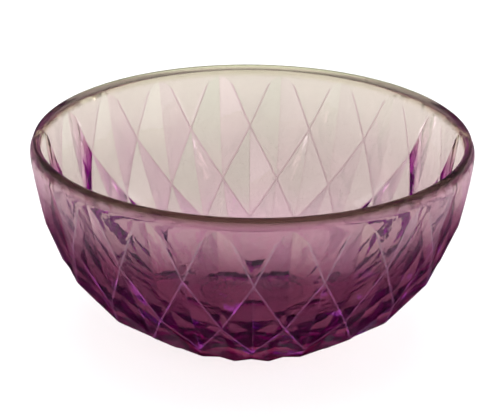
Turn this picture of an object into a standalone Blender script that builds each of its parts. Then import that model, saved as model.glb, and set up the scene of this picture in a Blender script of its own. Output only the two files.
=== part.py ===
"""A pressed-glass serving bowl with a staggered diamond pattern, and the colour coat on its outside.

Metres, +Z up. The origin is the centre of the plane that the bowl rests on.
The pattern is a lattice of points on five levels, each level turned half a pitch from the one above.
A diamond hangs from one point, is widest one level down and closes two levels down. It is two flat
facets that meet in a shallow valley, so the lattice lines between the diamonds stand proud as ridges.
"""

import math

import bmesh
import bpy
from mathutils import Vector
from mathutils.geometry import interpolate_bezier

# Rim and band
HEIGHT = 0.0912
RIM_RADIUS = 0.100
LIP_THICKNESS = 0.0034
LIP_STEPS = 6
BAND_RADIUS = 0.1011
BAND_TOP = 0.0875  # where the coat begins, below the clear rim

# Diamond lattice: (radius, height) of each level's points, from the top row's tips to the foot
DIAMONDS_AROUND = 20
LEVELS = (
    (BAND_RADIUS, 0.0859),
    (0.0974, 0.0592),
    (0.0879, 0.0344),
    (0.0743, 0.0170),
    (0.0490, 0.0),
)
FOOT_VALLEY_RADIUS = 0.0462

# Inside, one smooth curve from the lip to the middle of the floor
FLOOR_THICKNESS = 0.0075
INNER_WALL_HANDLE = (0.0934, 0.038)
INNER_FLOOR_HANDLE = 0.074
INNER_STEPS = 13

# Underside panel, pressed in a little from the ring that the bowl rests on
PANEL_RADIUS = 0.038
PANEL_DEPTH = 0.001

# Colour coat, drawn thicker than the real one
COAT_GAP = 0.0003
COAT_THICKNESS = 0.0003
COAT_FOOT = 0.0012

COLUMNS = 4 * DIAMONDS_AROUND
STEP_ANGLE = 2 * math.pi / COLUMNS
LIP_RADIUS = LIP_THICKNESS / 2
LIP_HEIGHT = HEIGHT - LIP_RADIUS


def clear_scene():
    for obj in list(bpy.data.objects):
        bpy.data.objects.remove(obj, do_unlink=True)


def material(name, colour, roughness, transmission):
    made = bpy.data.materials.new(name)
    made.use_nodes = True
    shader = made.node_tree.nodes["Principled BSDF"]
    shader.inputs["Base Color"].default_value = (*colour, 1.0)
    shader.inputs["Roughness"].default_value = roughness
    shader.inputs["Metallic"].default_value = 0.0
    shader.inputs["IOR"].default_value = 1.5
    shader.inputs["Transmission Weight"].default_value = transmission
    made.diffuse_color = (*colour, 1.0)
    return made


def point(column, radius, height):
    """A point on one of the columns, which start at the front (-Y) and stand a quarter diamond apart."""
    angle = column * STEP_ANGLE - math.pi / 2
    return Vector((radius * math.cos(angle), radius * math.sin(angle), height))


def round_ring(radius, height):
    return [point(column, radius, height) for column in range(COLUMNS)]


def lattice_ring(level, radius, height, valley):
    """Lattice points and valleys in turn on the even columns, and the middles of those chords between."""
    corners = {
        column: point(column, radius if column // 2 % 2 != level % 2 else valley, height)
        for column in range(0, COLUMNS, 2)
    }
    ring = []
    for column, corner in corners.items():
        ring += [corner, (corner + corners[(column + 2) % COLUMNS]) / 2]
    return ring


def valley_radius(level):
    """Where the straight valley between the points above and below crosses this level."""
    if level == len(LEVELS) - 1:
        return FOOT_VALLEY_RADIUS
    (above, top), (_, height), (below, bottom) = LEVELS[level - 1 : level + 2]
    return below + (above - below) * (height - bottom) / (top - bottom)


def lattice_rings():
    rings = [round_ring(*LEVELS[0])]
    for level in range(1, len(LEVELS)):
        radius, height = LEVELS[level]
        rings.append(lattice_ring(level, radius, height, valley_radius(level)))
    return rings


def inner_rings():
    """From the floor's edge up to just under the lip."""
    wall_radius = RIM_RADIUS - LIP_THICKNESS
    curve = interpolate_bezier(
        (0, FLOOR_THICKNESS),
        (INNER_FLOOR_HANDLE, FLOOR_THICKNESS),
        INNER_WALL_HANDLE,
        (wall_radius, LIP_HEIGHT),
        INNER_STEPS,
    )
    return [round_ring(radius, height) for radius, height in curve[1:-1]]


def lip_rings():
    """The rounded lip, from its inner side over the top to its outer side."""
    middle = RIM_RADIUS - LIP_RADIUS
    turns = [math.pi * (1 - step / LIP_STEPS) for step in range(LIP_STEPS + 1)]
    return [
        round_ring(middle + LIP_RADIUS * math.cos(t), LIP_HEIGHT + LIP_RADIUS * math.sin(t))
        for t in turns
    ]


def join_round(mesh, upper, lower):
    for column in range(COLUMNS):
        after = (column + 1) % COLUMNS
        mesh.faces.new((upper[column], lower[column], lower[after], upper[after]))


def join_levels(mesh, upper, lower, level):
    """Flat facets between two levels, parted along the ridge from an upper point to a lower one."""
    for start in range(0, COLUMNS, 2):
        top = [upper[(start + step) % COLUMNS] for step in range(3)]
        base = [lower[(start + step) % COLUMNS] for step in range(3)]
        point_at_start = start // 2 % 2 != level % 2
        high, low = (top[0], base[2]) if point_at_start else (top[2], base[0])
        for left, right in ((0, 1), (1, 2)):
            mesh.faces.new((high, base[left], base[right]))
            mesh.faces.new((low, top[right], top[left]))


def loft(mesh, rings, first_lattice):
    """Joins the rings in order. From first_lattice on, they are the lattice's levels."""
    loops = [[mesh.verts.new(place) for place in ring] for ring in rings]
    for index in range(len(loops) - 1):
        level = index - first_lattice
        if 0 <= level < len(LEVELS) - 1:
            join_levels(mesh, loops[index], loops[index + 1], level)
        else:
            join_round(mesh, loops[index], loops[index + 1])
    return loops


def close_centre(mesh, loop, height, upwards):
    """A fan of faces from a ring to a point on the axis."""
    middle = mesh.verts.new((0, 0, height))
    for column in range(COLUMNS):
        ends = (loop[column], loop[(column + 1) % COLUMNS])
        mesh.faces.new((middle, *(ends if upwards else ends[::-1])))


def add_object(name, mesh, look, collection):
    data = bpy.data.meshes.new(name)
    mesh.to_mesh(data)
    mesh.free()
    data.materials.append(look)
    data.shade_smooth()
    data.set_sharp_from_angle(angle=math.radians(8))
    made = bpy.data.objects.new(name, data)
    collection.objects.link(made)
    return made


def glass_body(look, collection):
    """The whole pressing: smooth inside, rounded lip, plain band, diamonds and recessed underside."""
    mesh = bmesh.new()
    above = inner_rings() + lip_rings()
    below = [
        round_ring(PANEL_RADIUS + PANEL_DEPTH, 0),
        round_ring(PANEL_RADIUS, PANEL_DEPTH),
    ]
    loops = loft(mesh, above + lattice_rings() + below, len(above))
    close_centre(mesh, loops[0], FLOOR_THICKNESS, upwards=True)
    close_centre(mesh, loops[-1], PANEL_DEPTH, upwards=False)
    return add_object("glass_body", mesh, look, collection)


def colour_coat(look, collection):
    """A skin over the band and the diamonds, open at the top and stopping short of the foot."""
    mesh = bmesh.new()
    loft(mesh, [round_ring(RIM_RADIUS + (BAND_RADIUS - RIM_RADIUS) / 2, BAND_TOP)] + lattice_rings(), 1)
    bmesh.ops.bisect_plane(
        mesh,
        geom=mesh.verts[:] + mesh.edges[:] + mesh.faces[:],
        plane_co=(0, 0, COAT_FOOT),
        plane_no=(0, 0, 1),
        clear_inner=True,
    )
    made = add_object("lustre_coat", mesh, look, collection)
    clearance = made.modifiers.new("gap to the glass", "DISPLACE")
    clearance.strength = COAT_GAP
    clearance.mid_level = 0
    skin = made.modifiers.new("thickness", "SOLIDIFY")
    skin.thickness = COAT_THICKNESS
    skin.offset = 1
    skin.use_even_offset = True
    return made


def main():
    clear_scene()
    bowl = bpy.data.collections.new("diamond_bowl")
    bpy.context.scene.collection.children.link(bowl)
    glass_body(material("clear_glass", (0.86, 0.88, 0.80), 0.03, 1.0), bowl)
    colour_coat(material("plum_lustre", (0.38, 0.16, 0.36), 0.10, 0.4), bowl)


main()
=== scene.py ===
"""Looks for a pressed-glass bowl with a diamond pattern and a plum colour coat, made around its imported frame.

The bowl is made as it is pressed: a turned blank and a faceted form that shape it together. Its outside is
then stained, the fired coat is laid over it as a thin film, and it is set on a pale table.
"""

import math

import bmesh
import bpy
from mathutils import Matrix, Vector
from mathutils.geometry import interpolate_bezier


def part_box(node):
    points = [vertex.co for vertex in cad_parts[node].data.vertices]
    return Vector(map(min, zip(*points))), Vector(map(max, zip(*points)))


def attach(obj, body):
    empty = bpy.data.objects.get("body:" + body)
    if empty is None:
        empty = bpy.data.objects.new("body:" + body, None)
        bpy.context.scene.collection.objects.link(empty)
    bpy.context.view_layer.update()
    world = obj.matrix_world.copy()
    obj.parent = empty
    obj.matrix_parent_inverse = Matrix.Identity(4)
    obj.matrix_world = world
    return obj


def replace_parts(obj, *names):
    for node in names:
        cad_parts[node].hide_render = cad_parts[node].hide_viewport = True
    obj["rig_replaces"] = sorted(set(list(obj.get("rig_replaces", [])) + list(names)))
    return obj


bl_info = {
    "name": "Diamond glass bowl",
    "version": (1, 0, 0),
    "blender": (4, 5, 0),
    "location": "3D View > Sidebar > Glass bowl",
    "description": "Presses a diamond-patterned glass bowl, coats it and sets it on a pale table",
    "category": "Add Mesh",
}

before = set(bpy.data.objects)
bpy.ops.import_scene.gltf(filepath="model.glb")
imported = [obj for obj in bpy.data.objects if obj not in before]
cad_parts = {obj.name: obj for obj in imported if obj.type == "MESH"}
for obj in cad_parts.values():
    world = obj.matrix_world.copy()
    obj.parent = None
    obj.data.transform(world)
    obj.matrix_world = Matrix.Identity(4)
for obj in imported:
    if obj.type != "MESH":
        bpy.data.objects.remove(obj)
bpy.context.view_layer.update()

BAND_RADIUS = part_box("glass_body")[1].x
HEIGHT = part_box("glass_body")[1].z
MM = 0.001

DIAMONDS = 20
HALF_PITCH = math.pi / DIAMONDS
# Shares of the band's radius and of the height, for each level of the pattern from the upper tips to the foot
PATTERN_LEVELS = ((1.0, 0.9419), (0.9634, 0.6491), (0.8694, 0.3772), (0.7349, 0.1864), (0.4847, 0.0))
FOOT_VALLEY = 0.4570
# The film covers from COAT_FOOT to COAT_TOP. The stain under it reaches on, from the base to STAIN_TOP
COAT_FOOT = 1.2 * MM
COAT_TOP = 0.9594 * HEIGHT
STAIN_TOP = 0.980 * HEIGHT
PANEL = 0.376 * BAND_RADIUS
PANEL_DEPTH = 1.0 * MM
VALLEY_SHARE = 0.4  # of the rounding that a ridge gets


class BowlSizes(bpy.types.PropertyGroup):
    lip: bpy.props.FloatProperty(
        name="Lip", description="Thickness of the rounded lip", default=3.4 * MM, unit="LENGTH"
    )
    rim_inset: bpy.props.FloatProperty(
        name="Rim inset", description="How far the rim stands in from the band", default=1.1 * MM,
        unit="LENGTH",
    )
    floor: bpy.props.FloatProperty(
        name="Floor", description="Thickness of the glass at the middle", default=7.5 * MM, unit="LENGTH"
    )
    rounding: bpy.props.FloatProperty(
        name="Rounding", description="Rounding along the pattern's edges", default=0.45 * MM, unit="LENGTH"
    )
    ray_depth: bpy.props.FloatProperty(
        name="Ray depth", description="Depth of the star's rays underneath", default=0.7 * MM, unit="LENGTH"
    )
    around: bpy.props.IntProperty(
        name="Steps around", description="Faces round the turned surfaces", default=240, min=60
    )


class GlassLooks(bpy.types.PropertyGroup):
    clear: bpy.props.FloatVectorProperty(
        name="Clear glass", description="Light through the inner surface", subtype="COLOR",
        default=(0.98, 0.985, 0.955),
    )
    lip: bpy.props.FloatVectorProperty(
        name="Lip", description="Light through the uncoated lip", subtype="COLOR", default=(0.80, 0.81, 0.66)
    )
    # Painted shade: the dark colour painted on the lip's outer side and in a band just under it
    lip_painted_shade: bpy.props.FloatVectorProperty(
        name="Lip, outside", description="Light through the outer side of the lip", subtype="COLOR",
        default=(0.20, 0.14, 0.13),
    )
    stain_rim: bpy.props.FloatVectorProperty(
        name="Stain, rim", description="Light through the coat by the rim", subtype="COLOR",
        default=(0.675, 0.635, 0.565),
    )
    stain_band: bpy.props.FloatVectorProperty(
        name="Stain, band", description="Light through the coated band as seen from outside", subtype="COLOR",
        default=(0.71, 0.58, 0.63),
    )
    # Seen from outside, much darker than the wall seen from inside: the coat's colour with painted shade
    stain_middle_and_painted_shade: bpy.props.FloatVectorProperty(
        name="Stain, middle", description="Light through the coat halfway down", subtype="COLOR",
        default=(0.225, 0.08, 0.14),
    )
    stain_wall: bpy.props.FloatVectorProperty(
        name="Stain, wall", description="Light through the coat halfway down as seen from inside",
        subtype="COLOR", default=(0.53, 0.455, 0.425),
    )
    # Seen from outside, much darker than the base seen from inside: the coat's colour with painted shade
    stain_foot_and_painted_shade: bpy.props.FloatVectorProperty(
        name="Stain, foot", description="Light through the coat at the foot", subtype="COLOR",
        default=(0.47, 0.11, 0.19),
    )
    stain_base: bpy.props.FloatVectorProperty(
        name="Stain, base", description="Light through the foot and the base as seen from inside",
        subtype="COLOR", default=(0.72, 0.50, 0.58),
    )
    glow_rim: bpy.props.FloatVectorProperty(
        name="Glow, rim", description="Light turned back inside the glass by the rim", subtype="COLOR",
        default=(0.97, 0.95, 0.90),
    )
    glow_foot: bpy.props.FloatVectorProperty(
        name="Glow, foot", description="Light turned back inside the glass lower down", subtype="COLOR",
        default=(0.75, 0.12, 0.78),
    )
    # Painted glint: violet painted into the coat along low ridges and facets here and there
    painted_glint: bpy.props.FloatVectorProperty(
        name="Spark", description="Bright violet that the low ridges catch here and there", subtype="COLOR",
        default=(0.62, 0.10, 0.95),
    )
    lustre: bpy.props.FloatProperty(
        name="Lustre", description="Share of light that the coat mirrors back into the glass", default=0.06,
        min=0, max=1,
    )
    sheen: bpy.props.FloatProperty(
        name="Sheen", description="How much the coat's film adds to the reflection", default=0.04,
        min=0, max=1,
    )
    ripple: bpy.props.FloatProperty(
        name="Ripple", description="Waviness of the pressed surfaces", default=0.07, min=0, max=1
    )


class StageSizes(bpy.types.PropertyGroup):
    distance: bpy.props.FloatProperty(
        name="Distance", description="From the camera to the middle of the rim", default=1.0, unit="LENGTH"
    )
    elevation: bpy.props.FloatProperty(
        name="Elevation", description="Camera above the rim", default=math.radians(20.65), subtype="ANGLE"
    )
    azimuth: bpy.props.FloatProperty(
        name="Azimuth", description="Camera round the bowl", default=math.radians(-0.76), subtype="ANGLE"
    )
    roll: bpy.props.FloatProperty(
        name="Roll", description="Camera about its own view", default=math.radians(0.61), subtype="ANGLE"
    )
    aim: bpy.props.FloatVectorProperty(
        name="Aim", description="Where the camera looks", default=(-0.8 * MM, 0, 54.6 * MM),
        subtype="TRANSLATION",
    )
    lens: bpy.props.FloatProperty(
        name="Lens", description="Focal length on a 36 mm sensor, in mm", default=157.9, min=20
    )
    floor: bpy.props.FloatVectorProperty(
        name="Floor", description="Colour of the table", subtype="COLOR", default=(0.95, 0.95, 0.95)
    )


# ---- working in the viewport's modes ----


def start_clean():
    if bpy.context.mode != "OBJECT":
        bpy.ops.object.mode_set(mode="OBJECT")
    bpy.ops.object.select_all(action="DESELECT")


def work_on(piece):
    start_clean()
    bpy.context.view_layer.objects.active = piece
    piece.select_set(True)


def edit(mode="VERT"):
    bpy.ops.object.mode_set(mode="EDIT")
    bpy.ops.mesh.select_mode(type=mode)
    bpy.ops.mesh.select_all(action="SELECT")


def pick(kind, test):
    """Selects the vertices, edges or faces of the mesh in edit mode that pass a test."""
    data = bpy.context.active_object.data
    mesh = bmesh.from_edit_mesh(data)
    bpy.ops.mesh.select_mode(type={"verts": "VERT", "edges": "EDGE", "faces": "FACE"}[kind])
    bpy.ops.mesh.select_all(action="DESELECT")
    for element in getattr(mesh, kind):
        if test(element):
            element.select_set(True)
    bmesh.update_edit_mesh(data)


def tidy_mesh(merge):
    bpy.ops.mesh.select_all(action="SELECT")
    bpy.ops.mesh.remove_doubles(threshold=merge)
    bpy.ops.mesh.normals_make_consistent(inside=False)
    bpy.ops.object.mode_set(mode="OBJECT")


def apply_modifier(piece, name, kind, **settings):
    modifier = piece.modifiers.new(name, kind)
    for setting, value in settings.items():
        setattr(modifier, setting, value)
    bpy.ops.object.modifier_apply(modifier=name)


def near(value, wanted):
    return abs(value - wanted) < 0.1 * MM


def is_level(edge, height):
    """True of an edge that lies at a height."""
    return all(near(end.co.z, height) for end in edge.verts)


def is_outward(face):
    """True of a face of the bowl's outer side, or of the outer half of its lip."""
    middle = face.calc_center_median()
    return face.normal.xy.dot(middle.xy) > 0.1 * middle.xy.length


# ---- the faceted form ----


def levels():
    return [(radius * BAND_RADIUS, height * HEIGHT) for radius, height in PATTERN_LEVELS]


def along(start, end, height):
    """The radius at which the straight line through two (radius, height) places crosses a height."""
    share = (height - start[1]) / (end[1] - start[1])
    return start[0] + share * (end[0] - start[0])


def raise_ring(ring, target):
    """Extrudes the selected ring to a (radius, height) and turns it half a pitch."""
    bpy.ops.mesh.extrude_region_move(TRANSFORM_OT_translate={"value": (0, 0, target[1] - ring[1])})
    scale = target[0] / ring[0]
    bpy.ops.transform.resize(value=(scale, scale, 1), center_override=(0, 0, target[1]))
    bpy.ops.transform.rotate(value=HALF_PITCH, orient_axis="Z", center_override=(0, 0, 0))


def ridge_radius(valley_radius):
    """Where two neighbouring upper facets meet, above the pattern's second level, for a valley's radius."""
    rings = levels()
    side_radius, side_height = rings[1]
    valley = along(rings[0], rings[2], side_height)
    slope = (side_radius * math.cos(HALF_PITCH) - valley) / (side_radius * math.sin(HALF_PITCH))
    return valley_radius / (math.cos(HALF_PITCH) - slope * math.sin(HALF_PITCH))


def is_crease(edge):
    """True of a ridge or valley, and not of the form's open or closed ends."""
    sides = edge.link_faces
    if len(sides) != 2 or not all(is_outward(face) for face in sides):
        return False
    return edge.calc_face_angle() > math.radians(6)


def weigh_creases():
    """Sets how much the bevel rounds each edge: ridges fully, valleys less."""
    data = bpy.context.active_object.data
    mesh = bmesh.from_edit_mesh(data)
    weight = mesh.edges.layers.float.new("bevel_weight_edge")
    for edge in filter(is_crease, mesh.edges):
        edge[weight] = 1.0 if edge.calc_face_angle_signed() > 0 else VALLEY_SHARE
    bmesh.update_edit_mesh(data)


def mark_pressing(rounding):
    """Marks every face as pressed, and the narrow ones that the bevel made as a ridge (1) or valley (-1)."""
    data = bpy.context.active_object.data
    mesh = bmesh.from_edit_mesh(data)
    pressed = mesh.faces.layers.float.new("pressed")
    bend = mesh.faces.layers.float.new("bend")
    for face in mesh.faces:
        face[pressed] = 1.0
        if min(edge.calc_length() for edge in face.edges) < rounding:
            turn = sum(edge.calc_face_angle_signed() for edge in face.edges if edge.is_manifold)
            face[bend] = math.copysign(1, turn)
    bmesh.update_edit_mesh(data)


def faceted_form(rounding):
    """The diamonds as flat facets, run on above the lip and closed flat at the foot."""
    rings = levels()
    tip, foot = Vector(rings[3]), Vector((FOOT_VALLEY * BAND_RADIUS, 0))
    below = tip + 1.9 * (foot - tip)  # the lowest valleys run on, so that the foot is cut across them
    top = HEIGHT + 5 * MM
    valley_top = (along(rings[0], rings[2], top), top)
    start_clean()
    bpy.ops.mesh.primitive_circle_add(vertices=DIAMONDS, radius=below.x, location=(0, 0, below.y))
    form = bpy.context.active_object
    bpy.ops.object.transform_apply(location=True)
    edit("EDGE")
    ring = below
    for target in (rings[4], rings[3], rings[2], rings[1], valley_top):
        raise_ring(ring, target)
        ring = target
    bpy.ops.mesh.select_all(action="SELECT")
    bpy.ops.mesh.quads_convert_to_tris(quad_method="SHORTEST_DIAGONAL")
    pick("edges", lambda edge: any(is_level(edge, height) for _, height in rings[1:]))
    bpy.ops.mesh.edge_rotate()
    pick("edges", lambda edge: is_level(edge, top))
    bpy.ops.mesh.subdivide(number_cuts=1, ngon=True)
    middle = valley_top[0] * math.cos(HALF_PITCH)
    pick("verts", lambda vert: near(vert.co.z, top) and vert.co.xy.length < middle + 0.1 * MM)
    out = ridge_radius(valley_top[0]) / middle
    bpy.ops.transform.resize(value=(out, out, 1), center_override=(0, 0, top))
    pick("edges", lambda edge: is_level(edge, top))
    bpy.ops.mesh.edge_face_add()
    bpy.ops.mesh.select_all(action="SELECT")
    bpy.ops.mesh.dissolve_limited(angle_limit=math.radians(0.3))
    bpy.ops.mesh.select_all(action="SELECT")
    bpy.ops.mesh.normals_make_consistent(inside=False)
    weigh_creases()
    bpy.ops.object.mode_set(mode="OBJECT")
    apply_modifier(form, "rounding", "BEVEL", width=rounding, segments=3, limit_method="WEIGHT")
    edit("FACE")
    mark_pressing(rounding)
    bpy.ops.mesh.select_all(action="SELECT")
    bpy.ops.mesh.bisect(plane_co=(0, 0, 0), plane_no=(0, 0, 1), use_fill=True, clear_inner=True)
    tidy_mesh(MM / 100)
    return form


# ---- the turned blank ----


def curve(steps, *ends):
    points = interpolate_bezier(*(Vector(place) for place in ends), steps + 1)
    return [(point.x, point.y) for point in points]


def blank_profile(sizes):
    """From the middle of the floor up the inside, over the lip, down the band and round under the foot."""
    half_lip = sizes.lip / 2
    rim = BAND_RADIUS - sizes.rim_inset
    rise = HEIGHT - half_lip
    widest, side = levels()[:2]
    inside = curve(
        44,
        (0, sizes.floor),
        (0.732 * BAND_RADIUS, sizes.floor),
        (0.924 * BAND_RADIUS, 0.417 * HEIGHT),
        (rim - sizes.lip, rise),
    )
    turns = [math.pi * (1 - step / 12) for step in range(1, 12)]
    lip = [(rim - half_lip + half_lip * math.cos(turn), rise + half_lip * math.sin(turn)) for turn in turns]
    shoulder = curve(
        6,
        (rim, rise),
        (rim, rise - 1.2 * MM),
        (widest[0], widest[1] + 2 * MM),
        (widest[0] + 0.02 * MM, widest[1]),
    )
    band = curve(
        12,
        (widest[0] + 0.02 * MM, widest[1]),
        (widest[0], widest[1] - 6 * MM),
        (side[0] + 1.6 * MM, side[1] + 8 * MM),
        (side[0] + 0.05 * MM, side[1]),
    )
    clear = BAND_RADIUS + 6 * MM
    outside = [(side[0] + 0.15 * MM, side[1] - 2 * MM), (clear, side[1] - 8 * MM), (clear, -4 * MM)]
    step = [(PANEL + 3 * MM, -4 * MM), (PANEL + MM, 0), (PANEL + 0.6 * MM, 0.6 * MM), (PANEL, PANEL_DEPTH)]
    panel = [(PANEL * share, PANEL_DEPTH) for share in (0.9, 0.6, 0.3, 0.12, 0)]
    return inside + lip + shoulder + band[1:] + outside + step + panel


def turned_blank(sizes):
    """The profile drawn by extruding one vertex from place to place, then spun round the axis."""
    places = blank_profile(sizes)
    start_clean()
    bpy.ops.mesh.primitive_plane_add(size=MM)
    edit()
    bpy.ops.mesh.merge(type="CENTER")
    bpy.ops.mesh.select_all(action="SELECT")
    bpy.ops.transform.translate(value=(places[0][0], 0, places[0][1]))
    for before, after in zip(places, places[1:]):
        step = (after[0] - before[0], 0, after[1] - before[1])
        bpy.ops.mesh.extrude_region_move(TRANSFORM_OT_translate={"value": step})
    bpy.ops.mesh.select_all(action="SELECT")
    bpy.ops.mesh.spin(steps=sizes.around, angle=2 * math.pi, center=(0, 0, 0), axis=(0, 0, 1))
    tidy_mesh(MM / 100)
    return bpy.context.active_object


# ---- pressing them together ----


def sharpen_arches():
    """Marks as sharp the edges where the facets were cut into the turned surface."""
    edit("EDGE")
    pressed = bmesh.from_edit_mesh(bpy.context.active_object.data).faces.layers.float["pressed"]
    pick("edges", lambda edge: len({round(face[pressed]) for face in edge.link_faces}) > 1)
    bpy.ops.mesh.mark_sharp()
    bpy.ops.object.mode_set(mode="OBJECT")


def press_star(depth):
    """Presses the star's rays into the panel underneath, one below every diamond."""
    pitch = 2 * HALF_PITCH

    def on_ray(vert):
        out = vert.co.xy.length
        turn = math.atan2(vert.co.y, vert.co.x) / pitch
        aside = abs(turn - round(turn)) * pitch * out
        return near(vert.co.z, PANEL_DEPTH) and 0.2 * PANEL < out < 0.8 * PANEL and aside < MM / 10

    pick("verts", on_ray)
    bpy.ops.transform.translate(value=(0, 0, depth))


def press_bowl(sizes):
    blank, form = turned_blank(sizes), faceted_form(sizes.rounding)
    work_on(blank)
    for name in ("pressed", "bend"):
        blank.data.attributes.new(name, "FLOAT", "FACE")
    apply_modifier(blank, "pressing", "BOOLEAN", operation="INTERSECT", solver="EXACT", object=form)
    bpy.data.objects.remove(form)
    edit()
    tidy_mesh(MM / 50)
    edit("EDGE")
    bpy.ops.mesh.bisect(plane_co=(0, 0, COAT_FOOT), plane_no=(0, 0, 1))
    press_star(sizes.ray_depth)
    pick("faces", is_stained)
    blank.data.materials.append(clear_glass("clear_glass"))
    blank.data.materials.append(stained_glass("stained_glass"))
    blank.active_material_index = 1
    bpy.ops.object.material_slot_assign()
    tidy_mesh(MM / 100)
    sharpen_arches()
    bpy.ops.object.shade_smooth_by_angle(angle=math.radians(32), keep_sharp_edges=True)
    apply_modifier(blank, "flat facets", "WEIGHTED_NORMAL", keep_sharp=True, weight=60)
    return blank


def is_coated(face):
    height = face.calc_center_median().z
    return is_outward(face) and COAT_FOOT < height < COAT_TOP


def is_stained(face):
    """True of all that the coat's spray reaches: the outside up to the lip, and underneath."""
    height = face.calc_center_median().z
    return height < STAIN_TOP and (is_outward(face) or face.normal.z < -0.3)


# ---- shader graphs ----


class Socket:
    """A node's output, so that shader maths is written as Python."""

    def __init__(self, graph, output):
        self.graph, self.output = graph, output

    def maths(self, operation, *values):
        return self.graph.node("ShaderNodeMath", {"operation": operation}, dict(enumerate(values)))

    def __add__(self, other):
        return self.maths("ADD", self, other)

    def __radd__(self, other):
        return self.maths("ADD", other, self)

    def __sub__(self, other):
        return self.maths("SUBTRACT", self, other)

    def __rsub__(self, other):
        return self.maths("SUBTRACT", other, self)

    def __mul__(self, other):
        return self.maths("MULTIPLY", self, other)

    def __rmul__(self, other):
        return self.maths("MULTIPLY", other, self)

    def at_least(self, limit):
        return self.maths("MAXIMUM", self, limit)

    def at_most(self, limit):
        return self.maths("MINIMUM", self, limit)

    def between(self, low, high):
        """0 at low and 1 at high, eased at both ends."""
        return self.graph.node(
            "ShaderNodeMapRange",
            {"interpolation_type": "SMOOTHSTEP"},
            {"Value": self, "From Min": low, "From Max": high},
        )


class Graph:
    """The node tree of one material or world."""

    def __init__(self, owner):
        owner.use_nodes = True
        self.tree = owner.node_tree
        self.tree.nodes.clear()

    def node(self, kind, settings=None, inputs=None, output=0):
        made = self.tree.nodes.new(kind)
        for name, value in (settings or {}).items():
            setattr(made, name, value)
        for name, value in (inputs or {}).items():
            if isinstance(value, Socket):
                self.tree.links.new(value.output, made.inputs[name])
            else:
                made.inputs[name].default_value = value
        return Socket(self, made.outputs[output])

    def mix(self, factor, first, second):
        """Blends two colours; each is a socket or an (r, g, b)."""
        first, second = (c if isinstance(c, Socket) else (*c, 1) for c in (first, second))
        return self.node("ShaderNodeMix", {"data_type": "RGBA"}, {0: factor, 6: first, 7: second}, 2)

    def multiply(self, first, second):
        """Multiplies two colours."""
        settings = {"data_type": "RGBA", "blend_type": "MULTIPLY"}
        return self.node("ShaderNodeMix", settings, {0: 1.0, 6: first, 7: second}, 2)

    def blend(self, factor, first, second):
        """Blends two shaders."""
        return self.node("ShaderNodeMixShader", {}, {0: factor, 1: first, 2: second})

    def parts(self, vector):
        """The x, y and z of a vector."""
        made = self.node("ShaderNodeSeparateXYZ", {}, {"Vector": vector})
        return [Socket(self, output) for output in made.output.node.outputs]

    def place(self):
        return self.node("ShaderNodeTexCoord", output="Object")

    def height(self):
        return self.parts(self.place())[2]

    def noise(self, scale, detail):
        values = {"Vector": self.place(), "Scale": scale, "Detail": detail}
        return self.node("ShaderNodeTexNoise", {}, values)

    def mark(self, name):
        """One of the marks that the pressing leaves on faces."""
        return self.node("ShaderNodeAttribute", {"attribute_name": name}, output="Fac")

    def within(self):
        """1 where the surface is met from inside the glass, and 0 where it is met from outside."""
        return self.node("ShaderNodeNewGeometry", output="Backfacing")

    def slant(self):
        """0 where the surface is met squarely, up to 1 where it is grazed."""
        return self.node("ShaderNodeLayerWeight", {}, {"Blend": 0.5}, "Facing")

    def fresnel(self, ior, normal):
        return self.node("ShaderNodeFresnel", {}, {"IOR": ior, "Normal": normal})

    def finish(self, shader, kind="ShaderNodeOutputMaterial"):
        """Links the shader to the tree's output."""
        ending = self.tree.nodes.new(kind)
        self.tree.links.new(shader.output, ending.inputs["Surface"])


def new_material(name):
    made = bpy.data.materials.new(name)
    return made, Graph(made)


GLASS_IOR = 1.5
COAT_IOR = 1.33  # the coat softens the reflection on the outside
LIP_IOR = 1.08  # the clear lip lets the pale room through, and isn't as dark as a lens of full strength
LIP_SHARE = 0.75  # how much of the lip bends light by LIP_IOR
LIP_GLOSS = 0.3  # what is left of the reflection at the lip

WHITE = (1.0, 1.0, 1.0)
# Painted light and shade on facets that lean one way and the other, against the stain's own colour
PAINTED_LEAN_LIGHT_INSIDE = ((1.01, 0.955, 0.99), (0.985, 1.00, 0.975))
PAINTED_LEAN_LIGHT_OUTSIDE = ((0.90, 0.79, 0.90), (1.13, 1.13, 1.11))
# Painted shade along the ridges and valleys
RIDGE_PAINTED_SHADE = (0.80, 0.70, 0.76)
VALLEY_PAINTED_SHADE = (0.90, 0.82, 0.86)
# What a slanting way through the coat does to the stain
ASLANT_FOOT = (0.52, 0.24, 0.50)
ASLANT_WALL = (0.96, 0.64, 0.96)
ASLANT_INSIDE = (0.74, 0.50, 0.72)
# Colours of what is turned back: inside the facets, on the coat seen from within, and outside
TURNED_FOOT = (0.88, 0.45, 0.92)
TURNED_RIM = (0.97, 0.94, 0.92)
MIRRORED = (1.0, 0.72, 0.90)
OUTSIDE_FOOT = (1.0, 0.30, 0.75)
OUTSIDE_RIM = (1.0, 1.0, 0.97)


def waves(graph, looks, outside=0.0):
    """The slow waviness that a mould and fire polishing leave, over a finer unevenness."""
    slow = graph.noise(55.0, 1.0)
    fine = graph.noise(320.0, 1.0)
    stronger = 1 + outside * (1 - graph.within())
    height = (slow + 0.12 * fine) * stronger
    return graph.node("ShaderNodeBump", {}, {"Height": height, "Strength": looks.ripple, "Distance": 2 * MM})


def let_light_through(graph, surface, colour):
    """Lets light past to the table, faintly coloured, in place of the caustics that it really makes."""
    faint = graph.mix(0.09, WHITE, colour)
    passed = graph.node("ShaderNodeBsdfTransparent", {}, {"Color": faint})
    shadow = graph.node("ShaderNodeLightPath", output="Is Shadow Ray")
    return graph.blend(shadow, surface, passed)


def bending(graph, colour, ior, normal):
    sockets = {"Color": colour, "Roughness": 0.0, "IOR": ior, "Normal": normal}
    return graph.node("ShaderNodeBsdfRefraction", {}, sockets)


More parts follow.
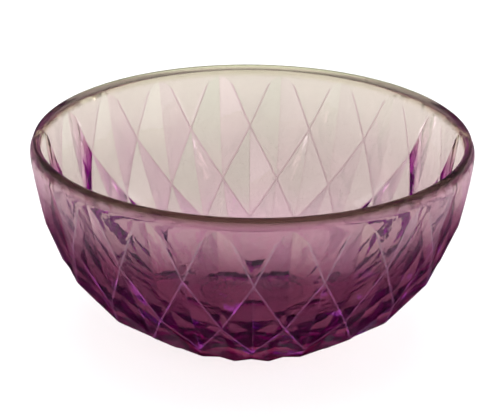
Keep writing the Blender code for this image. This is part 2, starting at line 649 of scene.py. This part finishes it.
def glass_skin(graph, colour, back, share, lip, normal):
    """Glass as two parts, what it lets pass and what it turns back, so that each has its own colour.

    share is how much it turns back, and lip is 1 where it is as weak a lens as the lip.
    """
    full, slight = (bending(graph, colour, ior, normal) for ior in (GLASS_IOR, LIP_IOR))
    passing = graph.blend(LIP_SHARE * lip, full, slight)
    turned = graph.node("ShaderNodeBsdfAnisotropic", {}, {"Color": back, "Roughness": 0.0, "Normal": normal})
    share = share * (1 - (1 - LIP_GLOSS) * lip)
    return let_light_through(graph, graph.blend(share, passing, turned), colour)


def facing(graph):
    """How far the surface faces away from the axis, and how far it faces round the bowl (-1 to 1 each)."""
    normal_x, normal_y, _ = graph.parts(graph.node("ShaderNodeNewGeometry", output="Normal"))
    place_x, place_y, _ = graph.parts(graph.place())
    outwards = (1 - 2 * graph.within()) * (1 / BAND_RADIUS)
    away = (normal_x * place_x + normal_y * place_y) * outwards
    sideways = (normal_x * place_y - normal_y * place_x) * outwards
    return away, sideways


def clear_glass(name):
    """The smooth inside and the lip, with painted shade on the lip where its outer side is looked straight
    into.
    """
    looks = bpy.context.scene.glass_looks
    made, graph = new_material(name)
    normal = waves(graph, looks)
    lip = graph.height().between(COAT_TOP - 3 * MM, COAT_TOP + MM)
    within = graph.within()
    away, _ = facing(graph)
    # Painted shade on the lip's outer side where it faces the viewer squarely
    outer = away.between(-0.3, 0.5) * (1 - within) * (1 - graph.slant().between(0.6, 0.8))
    colour = graph.mix(lip, looks.clear, graph.mix(outer, looks.lip, looks.lip_painted_shade))
    share = graph.fresnel(GLASS_IOR, normal) * (0.4 + 0.6 * within)
    graph.finish(glass_skin(graph, colour, (*WHITE, 1), share, lip, normal))
    return made


class Skin:
    """What the stain's shader asks about a place on the outer skin."""

    def __init__(self, graph):
        cloud = graph.noise(28.0, 3.0)
        self.height = graph.height() + 12 * MM * (cloud - 0.5)
        self.low = self.up(0.0, 0.42)
        self.high = self.up(0.45, 0.97)
        self.within = graph.within()
        _, sideways = facing(graph)
        self.lean = 0.5 + 0.5 * (10 * sideways).at_most(1.0).at_least(-1.0)
        bend = graph.mark("bend")
        self.ridge = bend.at_least(0.0)
        self.valley = (-1 * bend).at_least(0.0)

    def up(self, start, end):
        """0 to 1 between two shares of the bowl's height, clouded a little."""
        return self.height.between(start * HEIGHT, end * HEIGHT)


def stain_flat_on(graph, looks, skin):
    """The stain looked at squarely: by height, painted darker seen from outside as painted shade, with painted
    light and shade by the way the facet leans, and painted shade along ridges and valleys.
    """
    # Seen from outside the stain is far darker than from inside: partly the coat's colour, partly painted shade
    # on the near wall
    outside = graph.mix(skin.low, looks.stain_foot_and_painted_shade, looks.stain_middle_and_painted_shade)
    outside = graph.mix(skin.up(0.63, 0.97), outside, looks.stain_band)
    # Painted shade: a dark band on the outside just under the lip
    edge = graph.height().between(0.955 * HEIGHT, 0.985 * HEIGHT)
    outside = graph.mix(0.7 * edge, outside, looks.lip_painted_shade)
    inside = graph.mix(skin.low, looks.stain_base, looks.stain_wall)
    inside = graph.mix(skin.high, inside, looks.stain_rim)
    even = graph.mix(skin.within, outside, inside)
    # Painted light and shade by which way each facet leans
    painted_facet_light = graph.mix(
        skin.within, graph.mix(skin.lean, *PAINTED_LEAN_LIGHT_OUTSIDE), graph.mix(skin.lean, *PAINTED_LEAN_LIGHT_INSIDE)
    )
    # Painted shade along ridges and valleys
    painted_ridge_shade = graph.mix(skin.ridge, WHITE, RIDGE_PAINTED_SHADE)
    painted_valley_shade = graph.mix(skin.valley, WHITE, VALLEY_PAINTED_SHADE)
    return graph.multiply(graph.multiply(graph.multiply(even, painted_facet_light), painted_ridge_shade), painted_valley_shade)


def stain(graph, looks, skin):
    """The stain's colour, deeper on a slant, with painted violet glints low on the outside."""
    flat_on = stain_flat_on(graph, looks, skin)
    depth = graph.mix(skin.low, ASLANT_FOOT, ASLANT_WALL)
    deeper = graph.multiply(flat_on, graph.mix(skin.within, depth, ASLANT_INSIDE))
    fading = 1 - (0.45 + 0.30 * skin.within) * skin.high
    aslant = graph.slant() * (1 + 1.4 * skin.within) * fading
    colour = graph.mix(aslant.at_most(1.0), flat_on, deeper)
    # Painted glints: violet painted along low ridges and on facets that lean one way
    broken = graph.noise(90.0, 1.0)
    on_ridges = broken.between(0.53, 0.64) * skin.ridge
    on_facets = 0.6 * broken.between(0.60, 0.68) * skin.lean.between(0.55, 0.80)
    painted_glint = (on_ridges + on_facets) * (1 - skin.up(0.35, 0.75)) * (1 - skin.within)
    return graph.mix(painted_glint, colour, looks.painted_glint)


def stained_glass(name):
    """The outer skin, with the coat fired on it: it colours what passes and what it turns back."""
    looks = bpy.context.scene.glass_looks
    made, graph = new_material(name)
    normal = waves(graph, looks, outside=1.3)
    skin = Skin(graph)
    inner = graph.fresnel(GLASS_IOR, normal)
    glow = graph.mix(skin.up(0.35, 0.75), looks.glow_foot, looks.glow_rim)
    in_facets = graph.mix(graph.mark("pressed"), WHITE, graph.mix(skin.high, TURNED_FOOT, TURNED_RIM))
    seen_within = graph.mix(inner.between(0.3, 0.95), MIRRORED, graph.multiply(glow, in_facets))
    back = graph.mix(skin.within, graph.mix(skin.high, OUTSIDE_FOOT, OUTSIDE_RIM), seen_within)
    inner_share = inner + looks.lustre * (1 - inner)
    outer_share = graph.fresnel(COAT_IOR, normal).at_most(0.008 + 0.12 * skin.high * skin.high)
    outer_share = outer_share + 0.10 * skin.ridge
    share = outer_share + skin.within * (inner_share - outer_share)
    by_lip = graph.height().between(0.93 * HEIGHT, 0.98 * HEIGHT)
    graph.finish(glass_skin(graph, stain(graph, looks, skin), back, share, by_lip, normal))
    return made


def lustre_film(name):
    """The coat's own thin film: almost clear, with a faint sheen that drifts from rose to blue."""
    looks = bpy.context.scene.glass_looks
    made, graph = new_material(name)
    drift = graph.noise(16.0, 2.0).between(0.3, 0.7)
    colour = graph.mix(drift, (1.0, 0.72, 0.86), (0.74, 0.78, 1.0))
    shine = graph.node("ShaderNodeBsdfAnisotropic", {}, {"Color": colour, "Roughness": 0.06})
    clear = graph.node("ShaderNodeBsdfTransparent", {}, {"Color": (*WHITE, 1)})
    share = graph.node("ShaderNodeFresnel", {}, {"IOR": GLASS_IOR}) * looks.sheen * (1 - graph.within())
    graph.finish(graph.blend(share, clear, shine))
    return made


# ---- the coat ----


def lay_coat(glass):
    """The film: a copy of the coated faces, lifted a hair off them and given its thickness."""
    work_on(glass)
    bpy.ops.object.duplicate()
    coat = bpy.context.active_object
    edit("FACE")
    pick("faces", lambda face: not is_coated(face))
    bpy.ops.mesh.delete(type="FACE")
    bpy.ops.mesh.select_all(action="SELECT")
    bpy.ops.transform.shrink_fatten(value=0.10 * MM)
    bpy.ops.object.mode_set(mode="OBJECT")
    apply_modifier(coat, "film", "SOLIDIFY", thickness=0.12 * MM, offset=1)
    del coat["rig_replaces"]
    coat.data.materials.clear()
    coat.data.materials.append(lustre_film("plum_lustre"))
    for face in coat.data.polygons:
        face.material_index = 0
    return coat


# ---- the stage ----


def lay_table(stage):
    start_clean()
    under = (0, 0, -0.3 * MM)  # a hair below the glass, so that the two surfaces don't coincide
    bpy.ops.mesh.primitive_circle_add(vertices=96, radius=8.0, fill_type="NGON", location=under)
    table = bpy.context.active_object
    table.name = "table"
    made, graph = new_material("table")
    colour = graph.mix(0.06 * graph.noise(40.0, 4.0), stage.floor, (0.86, 0.86, 0.86))
    sockets = {"Base Color": colour, "Roughness": 0.9, "Specular IOR Level": 0.1}
    graph.finish(graph.node("ShaderNodeBsdfPrincipled", {}, sockets))
    table.data.materials.append(made)
    return table


def add_softbox(name, place, size, strength, aim=(0, 0, 0.05), seen=True):
    """An area light. One that isn't seen lights the table and shows in no glass."""
    bpy.ops.object.light_add(type="AREA", location=place)
    box = bpy.context.active_object
    box.name = name
    box.data.shape = "RECTANGLE"
    box.data.size, box.data.size_y = size
    box.data.energy = strength
    box.rotation_euler = (Vector(aim) - Vector(place)).to_track_quat("-Z", "Y").to_euler()
    box.visible_glossy = seen
    box.visible_transmission = seen
    return box


DIM_ROOM = (0.20, 0.20, 0.20)
DARK_CEILING = (0.10, 0.10, 0.10)
BRIGHT_SIDE = (1.6, 1.5, 1.55)
BRIGHT_WAY = (0.62, -0.75, 0.22)


def light_room():
    """A white sweep behind the bowl and a dim room before it, with one soft bright side."""
    world = bpy.data.worlds.new("studio")
    bpy.context.scene.world = world
    graph = Graph(world)
    direction = graph.node("ShaderNodeTexCoord", output="Generated")
    _, ahead, up = graph.parts(direction)
    towards = graph.node(
        "ShaderNodeVectorMath", {"operation": "DOT_PRODUCT"}, {0: direction, 1: BRIGHT_WAY}, "Value"
    )
    level = graph.mix(ahead.between(-0.5, 0.0), DIM_ROOM, WHITE)
    room = graph.mix(up.between(0.2, 0.8), level, DARK_CEILING)
    colour = graph.mix(0.8 * towards.between(0.80, 1.0), room, BRIGHT_SIDE)
    light = graph.node("ShaderNodeBackground", {}, {"Color": colour, "Strength": 1.0})
    graph.finish(light, "ShaderNodeOutputWorld")
    add_softbox("overhead", (0, 0.3, 1.6), (1.4, 1.4), 32.0, seen=False)
    add_softbox("left_strip", (-1.2, 0.1, 0.6), (0.12, 0.9), 1.0)
    add_softbox("right_strip", (1.2, 0.1, 0.6), (0.12, 0.9), 1.0)


def place_camera(stage):
    centre = Vector((0, 0, HEIGHT))
    flat = math.cos(stage.elevation)
    back = Vector(
        (math.sin(stage.azimuth) * flat, -math.cos(stage.azimuth) * flat, math.sin(stage.elevation))
    )
    bpy.ops.object.camera_add(location=centre + stage.distance * back)
    camera = bpy.context.active_object
    look = Vector(stage.aim) - camera.location
    turn = look.to_track_quat("-Z", "Y").to_matrix() @ Matrix.Rotation(stage.roll, 3, "Z")
    camera.rotation_euler = turn.to_euler()
    camera.data.sensor_width = 36
    camera.data.lens = stage.lens
    camera.data.clip_end = 30
    bpy.context.scene.camera = camera


def set_render(scene):
    scene.view_settings.view_transform = "Standard"
    scene.view_settings.look = "None"
    scene.cycles.max_bounces = 20
    scene.cycles.transmission_bounces = 20
    scene.cycles.glossy_bounces = 12
    scene.cycles.transparent_max_bounces = 48
    scene.cycles.caustics_reflective = False
    scene.cycles.denoising_input_passes = "RGB"  # the other passes are speckled behind so much glass


# ---- operators ----


class MESH_OT_press_glass_bowl(bpy.types.Operator):
    """Press the glass bowl"""

    bl_idname = "mesh.press_glass_bowl"
    bl_label = "Press glass bowl"

    def execute(self, context):
        glass = press_bowl(context.scene.bowl_sizes)
        glass.name = "pressed_glass"
        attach(glass, "root")
        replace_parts(glass, "glass_body")
        return {"FINISHED"}


class MESH_OT_lay_colour_coat(bpy.types.Operator):
    """Lay the fired colour coat over the outside of the bowl"""

    bl_idname = "mesh.lay_colour_coat"
    bl_label = "Lay colour coat"

    def execute(self, context):
        coat = lay_coat(bpy.data.objects["pressed_glass"])
        coat.name = "lustre_film"
        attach(coat, "root")
        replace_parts(coat, "lustre_coat")
        return {"FINISHED"}


class SCENE_OT_set_bowl_stage(bpy.types.Operator):
    """Set the bowl on a pale table under soft light, with the camera at its place"""

    bl_idname = "scene.set_bowl_stage"
    bl_label = "Set bowl stage"

    def execute(self, context):
        lay_table(context.scene.bowl_stage)
        light_room()
        place_camera(context.scene.bowl_stage)
        set_render(context.scene)
        return {"FINISHED"}


class VIEW3D_PT_glass_bowl(bpy.types.Panel):
    bl_label = "Glass bowl"
    bl_space_type = "VIEW_3D"
    bl_region_type = "UI"
    bl_category = "Glass bowl"

    def draw(self, context):
        layout = self.layout
        for group in (context.scene.bowl_sizes, context.scene.glass_looks, context.scene.bowl_stage):
            for name in group.__annotations__:
                layout.prop(group, name)
        for operator in (MESH_OT_press_glass_bowl, MESH_OT_lay_colour_coat, SCENE_OT_set_bowl_stage):
            layout.operator(operator.bl_idname)


CLASSES = (
    BowlSizes,
    GlassLooks,
    StageSizes,
    MESH_OT_press_glass_bowl,
    MESH_OT_lay_colour_coat,
    SCENE_OT_set_bowl_stage,
    VIEW3D_PT_glass_bowl,
)


def register():
    for made in CLASSES:
        bpy.utils.register_class(made)
    bpy.types.Scene.bowl_sizes = bpy.props.PointerProperty(type=BowlSizes)
    bpy.types.Scene.glass_looks = bpy.props.PointerProperty(type=GlassLooks)
    bpy.types.Scene.bowl_stage = bpy.props.PointerProperty(type=StageSizes)


def unregister():
    del bpy.types.Scene.bowl_stage
    del bpy.types.Scene.glass_looks
    del bpy.types.Scene.bowl_sizes
    for made in reversed(CLASSES):
        bpy.utils.unregister_class(made)


def main():
    register()
    bpy.ops.mesh.press_glass_bowl()
    bpy.ops.mesh.lay_colour_coat()
    bpy.ops.scene.set_bowl_stage()


if __name__ == "__main__":
    main()
